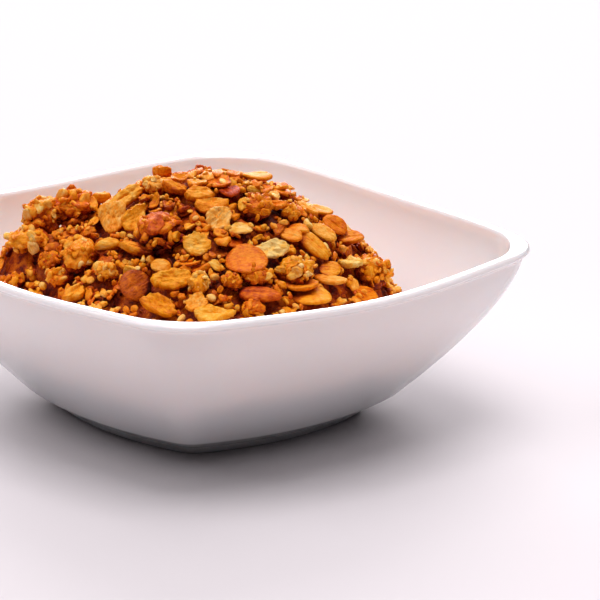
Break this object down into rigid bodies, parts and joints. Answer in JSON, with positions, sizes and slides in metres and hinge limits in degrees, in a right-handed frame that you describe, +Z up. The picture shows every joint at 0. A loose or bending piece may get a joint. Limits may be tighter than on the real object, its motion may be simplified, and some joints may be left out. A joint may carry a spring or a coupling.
{
  "type": "bowl of muesli",
  "caption": "Rounded-square glazed porcelain bowl on a small foot ring, heaped with toasted muesli of flakes, clusters and crumbs.",
  "frame": {"origin": "on the table under the middle of the bowl", "axes": "+Z up; the bowl's four sides face along +X, -X, +Y and -Y; the picture looks along +Y turned 39.7 degrees towards +X, at a corner of the bowl"},
  "size_m": [0.15, 0.15, 0.0664],
  "materials": {
    "porcelain": "smooth white glaze",
    "muesli": "toasted, rough, with a thin dried syrup gloss"
  },
  "bodies": {
    "root": {"bowl": "porcelain", "muesli": "muesli"}
  },
  "joints": []
}
